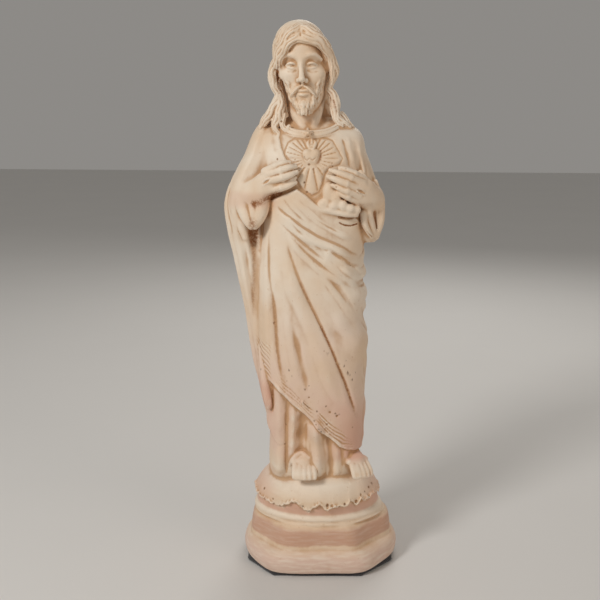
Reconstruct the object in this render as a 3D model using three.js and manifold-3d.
// A plaster devotional statue: a robed, bearded figure on a stepped octagonal base, cast in one,
// with a felt pad glued underneath. Millimetres, +Z up, the figure faces -Y.
// The origin is the middle of the felt's underside.
import * as THREE from "three";
import { mergeVertices } from "three/addons/utils/BufferGeometryUtils.js";
import Module from "manifold-3d";

const wasm = await Module();
wasm.setup();

// Felt pad
const feltThickness = 3;
const feltSetback = 1.6;
const glueGap = 0.3;

// Base: two octagonal tiers, a cove with a ring, and the rounded mound that the figure stands on
const baseWidth = 120;
const baseDepth = 93;
const cornerAcross = 24;
const cornerAlong = 31;
const cornerSharpness = 22;
const lowerTierHeight = 20;
const tierBulge = 2.4;
const upperTierSetback = 4.2;
const upperTierHeight = 13;
const upperTierTaper = 2.2;
const ringWidth = 101;
const ringDepth = 78;
const shoulderHeight = 5;
const ringHeight = 6;
const moundWidth = 99;
const moundDepth = 77;
const moundHeight = 30;
const soleDepth = 1.3;
const scallopDepth = 1.6;

// Figure, from its soles to its crown
const figureHeight = 330;

// The carving below is written for a figure of this height, and is scaled to the one above
const carvedHeight = 330;
const figureScale = figureHeight / carvedHeight;

// Levels, from the sizes above
const castBottom = feltThickness + glueGap;
const lowerTierTop = castBottom + lowerTierHeight;
const upperTierTop = lowerTierTop + upperTierHeight;
const shoulderTop = upperTierTop + shoulderHeight;
const ringTop = shoulderTop + ringHeight;
const soleLevel = ringTop + moundHeight - soleDepth;

// How finely the carving is worked out, and how many triangles it is thinned to
const bodyGrid = 2.2;
const headGrid = 1.6;
const bodyTriangles = 4000;
const headTriangles = 1750;
const evenness = 2e-5;

const TAU = 2 * Math.PI;
const clamp01 = (t) => Math.min(1, Math.max(0, t));
const smooth = (t) => clamp01(t) ** 2 * (3 - 2 * clamp01(t));
const total = (values) => values.reduce((sum, value) => sum + value, 0);

/** A row of numbers that passes smoothly through rows, at key, which is each row's first number. */
function through(rows, key) {
  const last = rows.length - 1;
  let i = rows.findIndex((row) => row[0] > key) - 1;
  if (i < -1) i = last - 1;
  i = Math.min(Math.max(i, 0), last - 1);
  const rowAt = (k) => rows[Math.min(Math.max(k, 0), last)];
  const [before, from, to, after] = [i - 1, i, i + 1, i + 2].map(rowAt);
  const span = to[0] - from[0];
  const t = clamp01((key - from[0]) / span);
  const [t2, t3] = [t * t, t * t * t];
  return from.map((value, k) => {
    const slopeIn = ((to[k] - before[k]) / (to[0] - before[0])) * span;
    const slopeOut = ((after[k] - value) / (after[0] - from[0])) * span;
    return (
      (2 * t3 - 3 * t2 + 1) * value +
      (t3 - 2 * t2 + t) * slopeIn +
      (3 * t2 - 2 * t3) * to[k] +
      (t3 - t2) * slopeOut
    );
  });
}

/** The closed solid over a stack of rings with the same number of points, with a fan at each end. */
function skin(rings) {
  const sides = rings[0].length;
  const middle = (ring) => ring.reduce((sum, p) => sum.add(p), new THREE.Vector3()).divideScalar(sides);
  const points = [middle(rings[0]), ...rings.flat(), middle(rings[rings.length - 1])];
  const index = [];
  for (let s = 0; s < sides; s++) {
    const next = (s + 1) % sides;
    index.push(0, 1 + next, 1 + s);
    for (let r = 0; r + 1 < rings.length; r++) {
      const [a, b] = [1 + r * sides, 1 + (r + 1) * sides];
      index.push(a + s, a + next, b + next, a + s, b + next, b + s);
    }
    const top = 1 + (rings.length - 1) * sides;
    index.push(points.length - 1, top + s, top + next);
  }
  const geometry = new THREE.BufferGeometry().setFromPoints(points);
  return geometry.setIndex(index);
}

/** A geometry as a solid that can be joined and cut. */
function solid(geometry) {
  const bare = new THREE.BufferGeometry();
  bare.setAttribute("position", geometry.getAttribute("position").clone());
  if (geometry.index) bare.setIndex(geometry.index.clone());
  const merged = mergeVertices(bare, 1e-4);
  return new wasm.Manifold(
    new wasm.Mesh({
      numProp: 3,
      vertProperties: new Float32Array(merged.getAttribute("position").array),
      triVerts: new Uint32Array(merged.index.array),
    }),
  );
}

/** The solid of several solids joined together. */
const join = (solids) => solids.reduce((sum, piece) => sum.add(piece));

/** A solid with its sealed voids filled, as a caster pours it. */
const filled = (made) => join(made.decompose().filter((shell) => shell.volume() > 0));

/** A solid as a geometry again. */
function geometryOf(made) {
  const mesh = made.getMesh();
  const geometry = new THREE.BufferGeometry();
  geometry.setAttribute("position", new THREE.BufferAttribute(new Float32Array(mesh.vertProperties), 3));
  geometry.setIndex(new THREE.BufferAttribute(new Uint32Array(mesh.triVerts), 1));
  geometry.computeVertexNormals();
  return geometry;
}

/** A smooth curve through points, each [x, y, z, and what else belongs to it]. */
function curveOf(points) {
  const spots = points.map(([x, y, z]) => new THREE.Vector3(x, y, z));
  return new THREE.CatmullRomCurve3(spots, false, "chordal");
}

/**
 * A solid tube through points, each [x, y, z, radius], with rounded ends.
 * sides is its number of faces round, steps its parts from point to point, and flat its width over its
 * thickness.
 */
function tube(points, { sides = 6, steps = 2, flat = 1 } = {}) {
  const curve = curveOf(points);
  const count = steps * (points.length - 1);
  const rows = points.map((point, i) => [i / (points.length - 1), point[3]]);
  const frames = curve.computeFrenetFrames(count, false);
  const rings = [];
  const ring = (i, shift, narrow) => {
    const t = i / count;
    const radius = through(rows, t)[1];
    const centre = curve.getPoint(t).addScaledVector(frames.tangents[i], shift * radius);
    rings.push(
      Array.from({ length: sides }, (_, s) => {
        const angle = (s / sides) * TAU;
        return centre
          .clone()
          .addScaledVector(frames.normals[i], Math.cos(angle) * radius * narrow)
          .addScaledVector(frames.binormals[i], Math.sin(angle) * radius * narrow * flat);
      }),
    );
  };
  ring(0, -0.75, 0.6);
  for (let i = 0; i <= count; i++) ring(i, 0, 1);
  ring(count, 0.75, 0.6);
  return solid(skin(rings));
}

// A form is a function of a point that gives its distance from the form's surface, less than 0 inside.

/** Two forms in one, with a fillet about k wide where they meet. */
const blend = (a, b, k) => Math.min(a, b) - Math.max(k - Math.abs(a - b), 0) ** 2 / (4 * k);

/** Several forms in one. */
const together = (forms, k) => (x, y, z) =>
  forms.reduce((nearest, form) => blend(nearest, form(x, y, z), k), 1e3);

/** A form with another cut out of it. */
const without = (form, cut, k) => (x, y, z) => -blend(-form(x, y, z), cut(x, y, z), k);

/** An egg-shaped form with its own half-size along each axis. */
const egg = ([cx, cy, cz], [a, b, c]) => (x, y, z) =>
  (Math.hypot((x - cx) / a, (y - cy) / b, (z - cz) / c) - 1) * Math.min(a, b, c);

/** A round limb through points, each [x, y, z, radius]. */
function limb(points) {
  const curve = curveOf(points);
  const count = 2 * (points.length - 1);
  const rows = points.map((point, i) => [i / (points.length - 1), point[3]]);
  const spots = curve.getPoints(count).map((spot, i) => [spot, through(rows, i / count)[1]]);
  const reach = Math.max(...points.map((point) => point[3]));
  const bounds = new THREE.Box3().setFromPoints(spots.map(([spot]) => spot));
  const away = new THREE.Vector3();
  return (x, y, z) => {
    const clear = bounds.distanceToPoint(away.set(x, y, z)) - reach;
    if (clear > 8) return clear;
    let nearest = Infinity;
    for (let i = 0; i < count; i++) {
      const [[a, ra], [b, rb]] = [spots[i], spots[i + 1]];
      const [dx, dy, dz] = [b.x - a.x, b.y - a.y, b.z - a.z];
      const along = (x - a.x) * dx + (y - a.y) * dy + (z - a.z) * dz;
      const t = clamp01(along / (dx * dx + dy * dy + dz * dz));
      const gap = Math.hypot(x - a.x - t * dx, y - a.y - t * dy, z - a.z - t * dz) - ra - t * (rb - ra);
      if (gap < nearest) nearest = gap;
    }
    return nearest;
  };
}

/** A form turned and moved by a matrix. */
function placed(form, matrix) {
  const back = matrix.clone().invert();
  const point = new THREE.Vector3();
  return (x, y, z) => {
    point.set(x, y, z).applyMatrix4(back);
    return form(point.x, point.y, point.z);
  };
}

/** Even values from start to end, about pitch apart. */
function evenly(start, end, pitch) {
  const count = Math.ceil((end - start) / pitch);
  return Array.from({ length: count + 1 }, (_, i) => start + ((end - start) * i) / count);
}

// The eight corners of a grid cell and the twelve edges between them, each [corner, corner, axis]
const corners = Array.from({ length: 8 }, (_, c) => [c & 1, (c >> 1) & 1, (c >> 2) & 1]);
const cellEdges = corners.flatMap((corner, c) =>
  [0, 1, 2].filter((axis) => !corner[axis]).map((axis) => [c, c | (1 << axis), axis]),
);

/** Whether a set of a cell's corners hangs together along its edges. */
const hangsTogether = (held) => {
  if (!held.length) return true;
  const reached = [held[0]];
  for (const c of reached) {
    for (const next of [c ^ 1, c ^ 2, c ^ 4]) {
      if (held.includes(next) && !reached.includes(next)) reached.push(next);
    }
  }
  return reached.length === held.length;
};
const isPlainCell = Array.from({ length: 256 }, (_, signs) => {
  const inside = [0, 1, 2, 3, 4, 5, 6, 7].filter((c) => (signs >> c) & 1);
  const outside = [0, 1, 2, 3, 4, 5, 6, 7].filter((c) => !((signs >> c) & 1));
  return hangsTogether(inside) && hangsTogether(outside);
});

/**
 * The surface of a form as a closed geometry: one point in each cell of a grid that the surface crosses.
 * A form that reaches the grid's rim is closed off there.
 */
function carved(form, { low, high, pitch }) {
  const axes = low.map((start, axis) => evenly(start, high[axis], pitch));
  const [nx, ny, nz] = axes.map((values) => values.length);
  const strides = [1, nx, nx * ny];
  const at = (i, j, k) => i + j * strides[1] + k * strides[2];
  const values = new Float64Array(nx * ny * nz);
  const onRim = (i, j, k) => !i || !j || !k || i === nx - 1 || j === ny - 1 || k === nz - 1;
  for (let k = 0; k < nz; k++) {
    for (let j = 0; j < ny; j++) {
      for (let i = 0; i < nx; i++) {
        const value = form(axes[0][i], axes[1][j], axes[2][k]);
        values[at(i, j, k)] = onRim(i, j, k) ? Math.max(value, pitch) : value;
      }
    }
  }
  const cornerOffsets = corners.map(([a, b, c]) => at(a, b, c));
  const signsAt = (cell) =>
    cornerOffsets.reduce((signs, offset, c) => signs | ((values[cell + offset] < 0) << c), 0);
  const eachCell = (visit) => {
    for (let k = 0; k + 1 < nz; k++) {
      for (let j = 0; j + 1 < ny; j++) {
        for (let i = 0; i + 1 < nx; i++) visit(at(i, j, k), [i, j, k]);
      }
    }
  };

  // a cell that two sheets of the surface pass through is filled, so that each cell needs only one point
  let settled = false;
  while (!settled) {
    settled = true;
    eachCell((cell) => {
      if (isPlainCell[signsAt(cell)]) return;
      const outside = cornerOffsets.map((offset) => cell + offset).filter((spot) => values[spot] >= 0);
      values[outside.reduce((best, spot) => (values[spot] < values[best] ? spot : best))] = -0.02 * pitch;
      settled = false;
    });
  }

  const points = [];
  const pointIn = new Int32Array(values.length);
  eachCell((cell, place) => {
    const signs = signsAt(cell);
    if (signs === 0 || signs === 255) return;
    const sum = [0, 0, 0];
    let crossings = 0;
    for (const [c, d, axis] of cellEdges) {
      if (((signs >> c) & 1) === ((signs >> d) & 1)) continue;
      const [from, to] = [values[cell + cornerOffsets[c]], values[cell + cornerOffsets[d]]];
      const t = Math.min(Math.max(from / (from - to), 0.06), 0.94);
      for (const n of [0, 1, 2]) sum[n] += corners[c][n] + (n === axis ? t : 0);
      crossings++;
    }
    const spot = sum.map((value, n) => low[n] + (axes[n][1] - low[n]) * (place[n] + value / crossings));
    pointIn[cell] = points.length;
    points.push(new THREE.Vector3(...spot));
  });

  const index = [];
  values.forEach((value, spot) => {
    strides.forEach((stride, axis) => {
      if (spot + stride >= values.length || value < 0 === values[spot + stride] < 0) return;
      const [u, v] = [strides[(axis + 1) % 3], strides[(axis + 2) % 3]];
      const quad = [spot, spot - u, spot - u - v, spot - v].map((cell) => pointIn[cell]);
      if (value >= 0) quad.reverse();
      const [a, b, c, d] = quad;
      const acShort = points[a].distanceTo(points[c]) <= points[b].distanceTo(points[d]);
      index.push(...(acShort ? [a, b, c, a, c, d] : [b, c, d, b, d, a]));
    });
  });
  return new THREE.BufferGeometry().setFromPoints(points).setIndex(index);
}

/** The plane of a triangle as [a, b, c, d, area], or null if it has no area. */
function planeOf(p, q, r) {
  const [ux, uy, uz] = [q.x - p.x, q.y - p.y, q.z - p.z];
  const [vx, vy, vz] = [r.x - p.x, r.y - p.y, r.z - p.z];
  const [nx, ny, nz] = [uy * vz - uz * vy, uz * vx - ux * vz, ux * vy - uy * vx];
  const length = Math.hypot(nx, ny, nz);
  if (length < 1e-9) return null;
  const [a, b, c] = [nx / length, ny / length, nz / length];
  return [a, b, c, -(a * p.x + b * p.y + c * p.z), length / 2];
}

/** The same closed surface with about target triangles: it loses first the edges that shape it least. */
function thinned(geometry, target) {
  const position = geometry.getAttribute("position");
  const pointAt = (_, i) => new THREE.Vector3().fromBufferAttribute(position, i);
  const points = Array.from({ length: position.count }, pointAt);
  const faces = Array.from({ length: geometry.index.count / 3 }, (_, id) =>
    [0, 1, 2].map((k) => geometry.index.getX(3 * id + k)),
  );
  const facesAt = points.map(() => new Set());
  faces.forEach((face, id) => face.forEach((point) => facesAt[point].add(id)));

  // each point's bend: the squared distances from the planes around it, as the 10 terms of a square form
  const bends = points.map(() => new Float64Array(10));
  faces.forEach((face) => {
    const plane = planeOf(...face.map((point) => points[point]));
    if (!plane) return;
    const [a, b, c, d, area] = plane;
    const terms = [a * a, a * b, a * c, a * d, b * b, b * c, b * d, c * c, c * d, d * d];
    face.forEach((point) => terms.forEach((term, k) => (bends[point][k] += term * area)));
  });
  const bendAt = (q, { x, y, z }) =>
    q[0] * x * x + q[4] * y * y + q[7] * z * z + q[9] +
    2 * (q[1] * x * y + q[2] * x * z + q[5] * y * z + q[3] * x + q[6] * y + q[8] * z);

  const solver = new THREE.Matrix3();
  const bestSpot = (a, b) => {
    const bend = bends[a].map((term, k) => term + bends[b][k]);
    const length = points[a].distanceTo(points[b]);
    const spots = [points[a], points[b], points[a].clone().lerp(points[b], 0.5)];
    solver.set(bend[0], bend[1], bend[2], bend[1], bend[4], bend[5], bend[2], bend[5], bend[7]);
    if (solver.determinant() > 1e-4 * ((bend[0] + bend[4] + bend[7]) / 3) ** 3) {
      const lowest = new THREE.Vector3(-bend[3], -bend[6], -bend[8]).applyMatrix3(solver.invert());
      if (lowest.distanceTo(spots[2]) < length) spots.push(lowest);
    }
    const rated = spots.map((spot) => [bendAt(bend, spot), spot]);
    const [least, spot] = rated.reduce((best, next) => (next[0] < best[0] ? next : best));
    return { cost: least + evenness * length ** 4, spot, bend };
  };
  const neighbours = (point) => new Set([...facesAt[point]].flatMap((id) => faces[id]));
  const keepsForm = (point, gone, spot) =>
    [...facesAt[point]].every((id) => {
      const face = faces[id];
      if (face.includes(gone)) return true;
      const before = planeOf(...face.map((p) => points[p]));
      const after = planeOf(...face.map((p) => (p === point ? spot : points[p])));
      if (!before || !after) return false;
      return before[0] * after[0] + before[1] * after[1] + before[2] * after[2] > 0.35;
    });

  let left = faces.length;
  for (let allowed = 1e-4; left > target && allowed < 1e4; allowed *= 1.4) {
    for (let id = 0; id < faces.length && left > target; id++) {
      for (let side = 0; side < 3 && faces[id]; side++) {
        const [a, b] = [faces[id][side], faces[id][(side + 1) % 3]];
        const { cost, spot, bend } = bestSpot(a, b);
        if (cost > allowed) continue;
        const shared = [...neighbours(a)].filter((point) => neighbours(b).has(point));
        if (shared.length !== 4 || !keepsForm(a, b, spot) || !keepsForm(b, a, spot)) continue;
        points[a] = spot;
        bends[a] = bend;
        for (const other of facesAt[b]) {
          const face = faces[other];
          if (face.includes(a)) {
            face.forEach((point) => facesAt[point].delete(other));
            faces[other] = null;
            left--;
          } else {
            faces[other] = face.map((point) => (point === b ? a : point));
            facesAt[a].add(other);
          }
        }
      }
    }
  }
  return new THREE.BufferGeometry().setFromPoints(points).setIndex(faces.filter((face) => face).flat());
}

/** How far a fold stands out at (x, h): a bell across its smoothed line, faded towards its two ends. */
function foldRise(fold, x, h) {
  let nearest = Infinity;
  let along = 0;
  fold.path.forEach((from, i) => {
    if (i + 1 === fold.path.length) return;
    const to = fold.path[i + 1];
    const [dx, dh] = [to.x - from.x, to.y - from.y];
    const t = clamp01(((x - from.x) * dx + (h - from.y) * dh) / (dx * dx + dh * dh));
    const away = Math.hypot(x - from.x - t * dx, h - from.y - t * dh);
    if (away < nearest) [nearest, along] = [away, (i + t) / (fold.path.length - 1)];
  });
  const bell = clamp01(1 - (nearest / fold.width) ** 2) ** 2;
  return fold.rise * bell * smooth(along / fold.fade) * smooth((1 - along) / fold.fade);
}

/** A fold or groove of the cloth: rise in millimetres, half-width, and a line of [x, h] points. */
function fold(rise, width, line, fade = 0.25) {
  const curve = new THREE.SplineCurve(line.map(([x, h]) => new THREE.Vector2(x, h)));
  return { rise, width, fade, path: curve.getPoints(3 * (line.length - 1)) };
}

// Folds on the front. x runs across, h up from the soles.
const frontFolds = [
  // the mantle, wrapped across the body: its longest crease and the swell beside it
  fold(-3.8, 4, [[-24, 178], [-16, 152], [-3, 117], [12, 84], [27, 54]]),
  fold(3.2, 9, [[-31, 172], [-22, 142], [-9, 108], [5, 76], [13, 58]]),
  fold(-3.2, 6, [[-41, 179], [-40, 153], [-36, 128], [-32, 98], [-30, 80]]),
  fold(2.4, 5, [[-45, 176], [-44, 140], [-42, 110], [-40, 88]]),
  fold(-1.8, 6, [[-22, 116], [-19, 95], [-15, 72]]),
  fold(1.6, 8, [[34, 96], [24, 106], [12, 124], [4, 140]]),
  // the bands of the mantle drawn up to the hand
  fold(-2.6, 3.4, [[-33, 211], [-17, 196], [-3, 186], [14, 175], [30, 166], [38, 163]], 0.15),
  fold(2.6, 5, [[-26, 209], [-12, 198], [2, 189], [18, 181], [34, 174]], 0.2),
  fold(-2.2, 4, [[-20, 213], [-10, 201], [4, 190], [18, 183], [33, 179]]),
  fold(2.2, 5, [[-22, 192], [-5, 182], [10, 173], [24, 164], [36, 162]], 0.2),
  fold(-2.8, 3.4, [[2, 176], [14, 166], [21, 161], [38, 159]], 0.2),
  fold(2, 5, [[-8, 178], [6, 167], [19, 156], [38, 152]], 0.2),
  fold(-2.2, 4, [[8, 158], [20, 149], [38, 146]], 0.2),
  fold(1.8, 6, [[0, 160], [14, 148], [38, 137]], 0.2),
  // the tunic below the mantle: upright folds
  fold(5.2, 8, [[-35, 66], [-34, 40], [-33, 4]], 0.12),
  fold(-2.6, 4, [[-26, 56], [-26, 30], [-26, 4]], 0.15),
  fold(2.6, 4, [[-21, 54], [-22, 36], [-22, 20]]),
  fold(-3.6, 6, [[-13, 48], [-14, 30], [-15, 14]], 0.15),
  fold(6, 8.5, [[-6, 50], [-4, 26], [-2, -2]], 0.12),
  fold(-2.8, 3.6, [[6, 38], [7, 20], [7, 0]], 0.15),
  fold(2.2, 3, [[11, 30], [12, 16], [12, 2]]),
  fold(2.2, 3, [[17, 26], [18, 14], [18, 4]]),
  // the mantle over the shoulder, and the sleeve on the other side
  fold(-2, 4, [[-47, 252], [-46, 238], [-43, 226]]),
  fold(2, 4, [[-38, 250], [-38, 238], [-35, 228]]),
  fold(-1.8, 3.5, [[-55, 236], [-57, 222], [-60, 208]]),
  fold(-2.4, 4, [[10, 248], [14, 236], [17, 226]]),
  fold(2.2, 4, [[16, 248], [21, 234], [25, 220]]),
  fold(-2.4, 4, [[22, 246], [27, 232], [31, 216]]),
  fold(2.2, 4, [[29, 240], [33, 226], [36, 214]]),
];

// Folds on the back: long and plain
const backFolds = [
  fold(3.4, 9, [[-40, 246], [-38, 180], [-30, 110], [-24, 40]], 0.12),
  fold(-3, 8, [[-28, 244], [-24, 180], [-16, 110], [-10, 30]], 0.12),
  fold(3.6, 9, [[-14, 236], [-8, 170], [0, 100], [6, 14]], 0.12),
  fold(-3, 8, [[2, 240], [8, 180], [14, 110], [18, 20]], 0.12),
  fold(2.8, 8, [[18, 240], [22, 180], [26, 120], [28, 20]], 0.12),
];

// The mantle's outline on the front, as far as it covers the tunic: [x, h]
const mantlePanel = [
  [-42, 208], [-47, 172], [-49, 130], [-50, 95], [-48, 78], [-44, 74], [-34.7, 68], [-23.8, 60.3],
  [-14.2, 50.4], [-1.6, 37.3], [9.6, 28.8], [20.8, 21.8], [32.7, 19], [60, 16], [60, 186], [32, 182],
  [16, 190], [0, 204], [-12, 212],
];
const shoulderPanel = [
  [-27, 262], [-33, 250], [-32, 240], [-28, 232], [-26, 224], [-40, 214], [-80, 214], [-80, 262],
];
const mantleThickness = 3.6;
const edgeSoftness = 2.4;

/** The signed distance from (x, h) to a closed outline, positive inside. */
function insideBy(outline, x, h) {
  let nearest = Infinity;
  let inside = false;
  outline.forEach(([ax, ah], i) => {
    const [bx, bh] = outline[(i + 1) % outline.length];
    const [dx, dh] = [bx - ax, bh - ah];
    const t = clamp01(((x - ax) * dx + (h - ah) * dh) / (dx * dx + dh * dh));
    nearest = Math.min(nearest, Math.hypot(x - ax - t * dx, h - ah - t * dh));
    if (ah > h !== bh > h && x < ax + ((h - ah) / dh) * dx) inside = !inside;
  });
  return inside ? nearest : -nearest;
}

/** A function of two numbers that keeps what it has worked out. */
function remembered(work) {
  const known = new Map();
  return (a, b) => {
    const key = `${a},${b}`;
    if (!known.has(key)) known.set(key, work(a, b));
    return known.get(key);
  };
}

/** The relief of the cloth's front and back at (x, h). */
const clothSides = remembered((x, h) => {
  const hemBehind = 22 - 0.2 * x;
  const wrap = smooth(insideBy(mantlePanel, x, h) / edgeSoftness + 0.5);
  const shoulder = smooth(insideBy(shoulderPanel, x, h) / edgeSoftness + 0.5);
  const layerBefore = Math.max(wrap, 0.7 * shoulder);
  const layerBehind = smooth((h - hemBehind) / edgeSoftness);
  const rises = (folds) => total(folds.map((each) => foldRise(each, x, h)));
  return {
    front: rises(frontFolds) + mantleThickness * layerBefore,
    back: rises(backFolds) + mantleThickness * layerBehind,
  };
});

/** The cloth's relief at (x, h); facing is -1 where the surface looks forwards and 1 where it looks back. */
function clothRelief(x, h, facing) {
  const forward = smooth(0.5 - 0.9 * facing);
  const { front, back } = clothSides(x, h);
  return forward * front + (1 - forward) * back;
}

/** A draped form through rows of [h, left, right, front, back], with the cloth's relief raised on it. */
function draped(rows, squareness, relief = clothRelief) {
  const [low, high] = [rows[0][0], rows[rows.length - 1][0]];
  let level = [NaN];
  return (x, y, h) => {
    if (level.h !== h) level = Object.assign(through(rows, Math.min(Math.max(h, low), high)), { h });
    const [, left, right, front, back] = level;
    const [a, b] = [(right - left) / 2, (back - front) / 2];
    const [u, v] = [x - (left + right) / 2, y - (front + back) / 2];
    const [p, q] = [Math.abs(u / a), Math.abs(v / b)];
    const size = Math.max((p ** squareness + q ** squareness) ** (1 / squareness), 1e-3);
    const reach = Math.hypot(u, v) / size || Math.min(a, b);
    const [slopeX, slopeY] = [p ** (squareness - 1) / a, q ** (squareness - 1) / b];
    const away = (size - 1) * reach;
    const facing = (Math.sign(v) * slopeY) / (Math.hypot(slopeX, slopeY) || 1);
    const sideways = Math.abs(away) > 12 ? away : away - relief(x, h, facing);
    return Math.max(sideways, low - h, h - high);
  };
}

// [h, left, right, front, back] of the body in its tunic, without the mantle's thickness
const bodyRows = [
  [-6, -37, 30, -29, 24], [4, -37, 30, -30, 24], [40, -37, 30, -29, 24], [75, -42, 31, -29, 24],
  [107, -45, 30.5, -28.5, 24], [119, -45, 28.6, -28.4, 24], [140, -45, 30, -28, 24],
  [165, -44, 28, -27.5, 23], [185, -41, 28, -28, 23], [210, -42, 26, -29, 23], [228, -43, 24, -28, 23],
  [240, -44.5, 25, -25, 22], [250, -44, 23, -20, 19], [256, -41, 18, -15, 16], [260, -36, 12, -9, 12],
  [263, -28, 2, -2, 6],
];

// The mantle where it hangs from the shoulder, over the arm and down the side
const sideMantleRows = [
  [39, -40, -34, -3, 4], [44, -41, -30, -8, 12], [57, -43.5, -28, -10, 15], [80, -48, -30, -11, 20],
  [105, -52.5, -34, -11, 22], [140, -59.5, -40, -12, 23], [165, -66, -44, -13, 24], [181, -70, -46, -15, 24],
  [200, -71.5, -46, -19, 23], [212, -68.6, -44, -20, 23], [228, -60.8, -40, -19, 22],
  [243, -54.6, -36, -17, 20], [252, -49.4, -33, -13, 16], [257, -45.6, -34, -8, 11], [260, -42, -37, -3, 5],
];

// The sleeve on the other side, from the shoulder to the loose hem below the forearm
const sleeveRows = [
  [175, 33, 37, -13, -6], [178, 29, 41, -17, 2], [186, 26, 43, -21, 8], [200, 24, 43.5, -21, 15],
  [214, 22, 39.5, -19, 18], [229, 17, 34, -18, 19], [243, 12, 28.5, -16, 18], [251, 10, 23.5, -12, 14],
  [257, 8, 17, -7, 9], [259, 9, 14, -3, 4],
];

/** The robed body, the hanging mantle and the wide sleeve, with the hollows between them. */
function robes() {
  const cloth = [draped(bodyRows, 2.9), draped(sideMantleRows, 2.3), draped(sleeveRows, 2.3)];
  const overToes = egg([-15, -36, 6], [9.5, 12, 13]);
  const besideMantle = limb([
    [-52, -36, 186, 4], [-51, -33, 170, 4.5], [-51, -31, 145, 3.6], [-51.5, -30, 118, 2.4],
  ]);
  return without(without(together(cloth, 4), overToes, 2), besideMantle, 3);
}

// The hanging cuff under one hand, and the mantle's end gathered under the other
const looseCloth = [
  limb([[-57, -17, 206, 7], [-55, -22, 196, 6], [-51, -25, 186, 3.4]]),
  limb([[-45, -24, 208, 6.5], [-47, -24, 198, 5.6], [-50, -25, 187, 3.4]]),
  limb([[11, -31, 219, 5], [6, -31.5, 209, 5.4], [1, -30.5, 199, 3.4]]),
  limb([[18, -32, 216, 5], [15, -33, 206, 6], [10, -31.5, 199, 4.6]]),
  limb([[-2, -29.5, 199, 3], [8, -31.5, 198.5, 4.6], [21, -30, 199.5, 4]]),
  limb([[11, -28, 190, 3.4], [18, -29.5, 190, 4.4], [26, -26, 192, 3.6]]),
];

// The forearms and the backs of the hands
const arms = [
  limb([[-62, -6, 200, 10], [-56, -16, 206, 9.5], [-48, -23, 212, 8]]),
  limb([[-50, -23, 212, 7.6], [-42, -28, 218, 8], [-34, -30.5, 225, 7.6]]),
  limb([[36, -4, 203, 9], [35, -15, 206, 9.4], [29, -24, 211, 8]]),
  limb([[31, -24, 211, 7.2], [24, -28.5, 216, 7.6], [17, -31, 220.5, 7]]),
];

// Fingers, each through [x, y, h, radius] from inside the hand to the tip, resting on the chest
const fingers = [
  [[-39, -31, 229, 3], [-27, -35.5, 235, 3], [-20, -32, 231.5, 2.4]],
  [[-38, -32, 225, 3], [-26, -36.5, 229.7, 3], [-19.5, -33, 227, 2.4]],
  [[-37, -32, 220.5, 3], [-25, -36.5, 224.5, 2.9], [-19, -33.5, 222.5, 2.3]],
  [[-37, -31, 216, 2.9], [-25, -35.5, 219.3, 2.7], [-20, -33, 218.3, 2.2]],
  [[22, -32, 224, 3], [9, -37, 229.5, 2.9], [1.5, -34.5, 228.5, 2.3]],
  [[22, -33, 220, 3], [9, -38, 225, 2.9], [2.5, -35.5, 224, 2.3]],
  [[22, -33, 216, 3], [10, -38, 220.3, 2.8], [4.5, -35.5, 219, 2.2]],
  [[22, -32, 211.5, 2.9], [11, -37, 215.3, 2.6], [7, -35, 214, 2.1]],
];

/** A bare foot, its sole on the mound: toes fan out from the instep. */
function foot([x, y, h], turn) {
  const at = (u, v, w) => {
    const [c, s] = [Math.cos(turn), Math.sin(turn)];
    return [x + u * c - v * s, y + u * s + v * c, h + w];
  };
  const toes = Array.from({ length: 5 }, (_, toe) => {
    const across = -7.4 + 3.7 * toe;
    const length = 10.5 - 0.35 * (toe - 1.5) ** 2;
    return tube(
      [
        [...at(across * 0.7, 0, 4), 3.4],
        [...at(across * 0.9, -length / 2, 3.2), 2.7],
        [...at(across, -length, 1.4), 2],
      ],
      { sides: 5, steps: 1 },
    );
  });
  const instep = tube([[...at(0, 14, 6), 7], [...at(0, 2, 4), 6.4]], { sides: 8, steps: 1, flat: 1.2 });
  return join([instep, ...toes]);
}

/** The heart on the breast, with its flame, in the middle of a panel of rays. */
function heartAndRays() {
  const [x, y, h] = [-10, -28, 237];
  const rays = Array.from({ length: 17 }, (_, i) => {
    const angle = -Math.PI / 2 + (i - 8) * (TAU / 18.5);
    const length = 15 + 5.5 * Math.abs(Math.sin(angle)) ** 3 * (angle > -Math.PI && angle < 0 ? 1.4 : 0);
    const ray = new THREE.ConeGeometry(2.4, length, 4, 1).rotateZ(Math.PI).translate(0, length / 2, 0);
    ray.scale(1, 1, 0.75).rotateZ(angle - Math.PI / 2).rotateX(Math.PI / 2 - 0.1);
    return solid(ray.translate(x, y + 0.4, h));
  });
  const lobes = [-1, 1].map((side) =>
    tube(
      [
        [x + 3 * side, y - 2.6, h + 3.2, 3.8],
        [x + 1.6 * side, y - 3, h - 1.5, 3.2],
        [x, y - 2.6, h - 7, 1.4],
      ],
      { steps: 1 },
    ),
  );
  const flame = tube(
    [[x, y - 2, h + 4, 3], [x, y - 2, h + 9, 3.6], [x, y - 1, h + 14, 1.4]],
    { sides: 5, steps: 1 },
  );
  return join([...rays, ...lobes, flame]);
}

// The round collar of the tunic
const collar = limb([
  [-32, -5, 261, 2.4], [-26, -13, 257, 2.5], [-18, -18.5, 253.8, 2.6], [-10, -20.5, 252.8, 2.6],
  [-2, -19, 253.8, 2.5], [5, -14, 256, 2.5], [11, -6, 259.5, 2.4],
]);

// The head in its own frame: the origin is between the eyes and the nape, at eye level
const headCentre = new THREE.Vector3(-16.5, 0, 300);
const headTilt = -0.07;
const headBow = 0.08;

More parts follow.
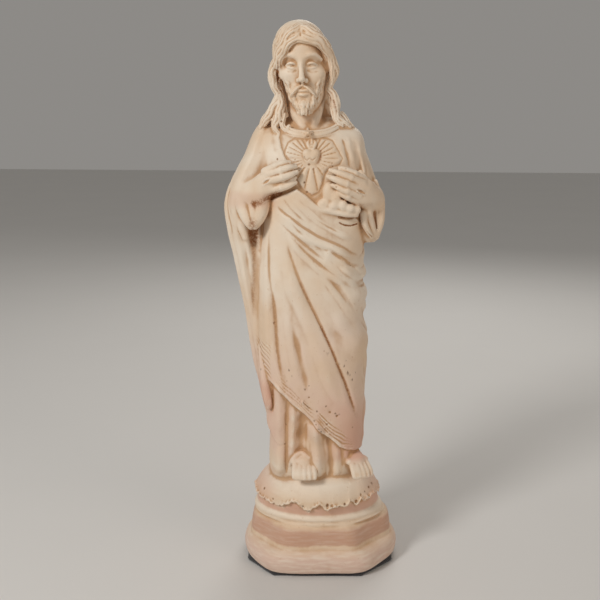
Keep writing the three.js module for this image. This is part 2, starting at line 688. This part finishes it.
const faceRows = [
  [-33, -5, 5, -20, -8], [-30, -8.5, 8.5, -22.5, 2], [-24, -12.5, 12.5, -22.8, 10],
  [-17, -15, 15, -22, 14], [-8, -16.6, 16.6, -21.5, 16], [0, -17.4, 17.4, -21, 18],
  [8, -17.4, 17.4, -21.4, 18], [15, -16, 16, -20, 18], [21, -12, 12, -15, 16], [25, -6, 6, -8, 10],
];

// The face's relief: [rise, half-width, line of points across and up]
const faceFolds = [
  fold(2, 4, [[-13, 2.6], [-7.5, 5.4], [-2.6, 4.8]], 0.3),
  fold(2, 4, [[13, 2.6], [7.5, 5.4], [2.6, 4.8]], 0.3),
  fold(-3.4, 4.2, [[-10.5, -0.5], [-7, 0], [-4, -0.8]], 0.3),
  fold(-3.4, 4.2, [[10.5, -0.5], [7, 0], [4, -0.8]], 0.3),
  fold(-1.2, 2, [[-5, -18.8], [0, -18.4], [5, -18.8]], 0.3),
  fold(1.6, 3, [[-9, -21], [-5, -16.5], [0, -15.4], [5, -16.5], [9, -21]], 0.15),
  fold(1.6, 2.2, [[-4, -21], [0, -21.4], [4, -21]], 0.3),
  fold(2.4, 5, [[-8, -26], [0, -28.5], [8, -26]], 0.3),
];

/** The face: a bare oval with its relief, the nose and its wings. */
function face() {
  const relief = remembered((x, v) => total(faceFolds.map((each) => foldRise(each, x, v))));
  const oval = draped(faceRows, 2.2, (x, v, facing) => smooth(0.5 - 1.4 * facing) * relief(x, v));
  const nose = limb([[0, -19.5, 5, 2], [0, -22.4, -4, 2.3], [0, -23.6, -11, 2.9]]);
  const wings = limb([[-3, -22.2, -11.6, 1.8], [0, -23.4, -12, 2], [3, -22.2, -11.6, 1.8]]);
  return together([oval, nose, wings], 1.6);
}

// Locks of hair: [x, y, v, radius], from the parting down to the shoulders
const locks = [
  [[-1, -14.5, 26, 3], [-8, -17, 23, 4.4], [-15.5, -14, 14.5, 5], [-19, -9, 4, 4.6], [-19.5, -7, -9, 4.6]],
  [
    [-19.5, -7, -7, 4.6], [-18, -8, -19, 4.4], [-20.5, -9.5, -29, 5], [-20, -14, -38, 4.6],
    [-15, -16.5, -46, 3],
  ],
  [[-3, -7, 26, 4], [-12, -7, 23.5, 5.5], [-18.5, -2, 13, 5.5], [-19.5, 2, 0, 5], [-18, 3, -14, 5]],
  [[-18, 3, -12, 5.5], [-17, 2, -22, 5], [-21, -1, -31, 5.5], [-27, -3, -38, 5], [-29, -6, -46, 3]],
  [[1, -14.5, 26, 3], [8, -16.5, 23, 4.4], [15.5, -13.5, 13.5, 5], [20, -9, 3, 5], [19.5, -7, -8, 4.6]],
  [[19.5, -7, -6, 4.6], [17.5, -7, -15, 4.4], [20, -8, -24, 4.6], [23, -9, -32, 4.4], [24, -10, -39, 3]],
  [[3, -7, 26, 4], [12, -6.5, 23.5, 5.5], [18, -1, 12, 5.5], [20.5, 2, 0, 5.2], [18, 3, -12, 5]],
  [[18, 3, -10, 5.4], [17, 2, -20, 5], [21, 0, -29, 5.5], [25, -1, -36, 5], [28, -3, -41, 3]],
];

// [v, left, right, front, back] of the hair over the skull and the nape
const capRows = [
  [-50, -17, 17, 2, 12], [-38, -20, 20, -2, 17], [-22, -18.5, 18.5, -2, 19], [-8, -20, 20, -6, 23],
  [4, -21, 21, -12, 25.5], [14, -20.5, 20.5, -17.5, 25.5], [22, -16.5, 16, -19, 22],
  [27, -11.2, 10.8, -16, 17], [30, -4, 4, -6, 8],
];

/** The head and neck in the figure's frame: the face, and long hair in wavy locks. */
function head() {
  const hair = together([draped(capRows, 2.1, () => 0), ...locks.map(limb)], 3.6);
  const turn = new THREE.Matrix4().makeRotationFromEuler(new THREE.Euler(headBow, headTilt, 0));
  const move = new THREE.Matrix4().makeTranslation(headCentre.x, headCentre.y, headCentre.z);
  const neck = limb([[-13, 3, 244, 13.5], [-14, 1, 262, 12.5], [-15.5, 1, 280, 12]]);
  return together([placed(together([face(), hair], 1), move.multiply(turn)), neck], 2);
}

/** The reach of the base's octagon with its softened corners, drawn in by inset, at an angle. */
function octagonReach(angle, inset) {
  const [cos, sin] = [Math.abs(Math.cos(angle)), Math.abs(Math.sin(angle))];
  const [halfWidth, halfDepth] = [baseWidth / 2, baseDepth / 2];
  const slant = Math.hypot(cornerAcross, cornerAlong);
  const corner = (halfWidth * cornerAlong + halfDepth * cornerAcross - cornerAcross * cornerAlong) / slant;
  const facings = [
    cos / (halfWidth - inset),
    sin / (halfDepth - inset),
    (cos * cornerAlong + sin * cornerAcross) / slant / (corner - inset),
  ];
  return total(facings.map((facing) => facing ** cornerSharpness)) ** (-1 / cornerSharpness);
}

/** The reach of an oval, at an angle. */
const ovalReach = (angle, halfWidth, halfDepth) =>
  1 / Math.hypot(Math.cos(angle) / halfWidth, Math.sin(angle) / halfDepth);

/** A stack of level rings, each [level, reach at an angle]. */
function turned(levels, sides) {
  return solid(
    skin(
      levels.map(([z, reach]) =>
        Array.from({ length: sides }, (_, s) => {
          const angle = ((s + 0.5) / sides) * TAU;
          return new THREE.Vector3(reach(angle) * Math.cos(angle), reach(angle) * Math.sin(angle), z);
        }),
      ),
    ),
  );
}

const octagon = (inset) => (angle) => octagonReach(angle, inset);
const oval = (width, depth) => (angle) => ovalReach(angle, width / 2, depth / 2);
const scalloped = (width, depth, rise) => (angle) =>
  ovalReach(angle, width / 2, depth / 2) + rise * (Math.abs(Math.sin(9 * angle)) - 0.5);

/** The two octagonal tiers, the ring above them and the mound. */
function base() {
  const lower = [
    [castBottom, octagon(tierBulge)],
    [castBottom + 0.15 * lowerTierHeight, octagon(0.5)],
    [castBottom + 0.45 * lowerTierHeight, octagon(0)],
    [castBottom + 0.8 * lowerTierHeight, octagon(1)],
    [lowerTierTop, octagon(tierBulge + 0.6)],
    [lowerTierTop + 0.8, octagon(upperTierSetback)],
    [upperTierTop - 1.5, octagon(upperTierSetback + upperTierTaper)],
    [upperTierTop, octagon(upperTierSetback + upperTierTaper + 2)],
    [shoulderTop, oval(ringWidth, ringDepth)],
    [shoulderTop + 0.5 * ringHeight, oval(ringWidth + 1, ringDepth + 1)],
    [ringTop, oval(ringWidth - 3, ringDepth - 3)],
  ];
  const moundAt = (share, spread) => [
    ringTop + share * moundHeight,
    oval(moundWidth * spread, moundDepth * spread),
  ];
  const mound = [
    [ringTop, scalloped(moundWidth, moundDepth, scallopDepth)],
    [ringTop + 0.12 * moundHeight, scalloped(moundWidth + 1, moundDepth + 1, 0.6 * scallopDepth)],
    moundAt(0.35, 1),
    moundAt(0.62, 0.95),
    moundAt(0.82, 0.85),
    moundAt(0.94, 0.7),
    moundAt(1, 0.45),
  ];
  return turned([...lower, ...mound], 36);
}

// The space that each carving grid covers, in the figure's frame
const bodySpace = { low: [-82, -48, -12], high: [54, 38, 270], pitch: bodyGrid };
const headSpace = { low: [-54, -36, 227], high: [22, 36, 338], pitch: headGrid };

/** Everything above the mound, at its real height. */
function figure() {
  const body = together([robes(), together(looseCloth, 2.5), together(arms, 3), collar], 2);
  const parts = [
    solid(thinned(carved(body, bodySpace), bodyTriangles)),
    solid(thinned(carved(head(), headSpace), headTriangles)),
    ...fingers.map((finger) => tube(finger, { steps: 1 })),
    heartAndRays(),
    foot([-14.5, -31, 2.5], 0),
    foot([28, -24, 4], 0.5),
  ];
  return join(parts).scale(figureScale).translate([0, 0, soleLevel]);
}

const plaster = new THREE.MeshStandardMaterial({ color: 0xd9c8ae, roughness: 0.7, metalness: 0 });
const felt = new THREE.MeshStandardMaterial({ color: 0x1c1b1e, roughness: 0.95, metalness: 0 });

/** A named mesh of a solid. */
function piece(name, made, material) {
  const mesh = new THREE.Mesh(geometryOf(made), material);
  mesh.name = name;
  return mesh;
}

const group = new THREE.Group();
group.add(piece("statue", filled(base().add(figure())), plaster));
group.add(
  piece(
    "felt_pad",
    turned(
      [
        [0, octagon(tierBulge + feltSetback)],
        [feltThickness, octagon(tierBulge + feltSetback)],
      ],
      48,
    ),
    felt,
  ),
);

export default group;
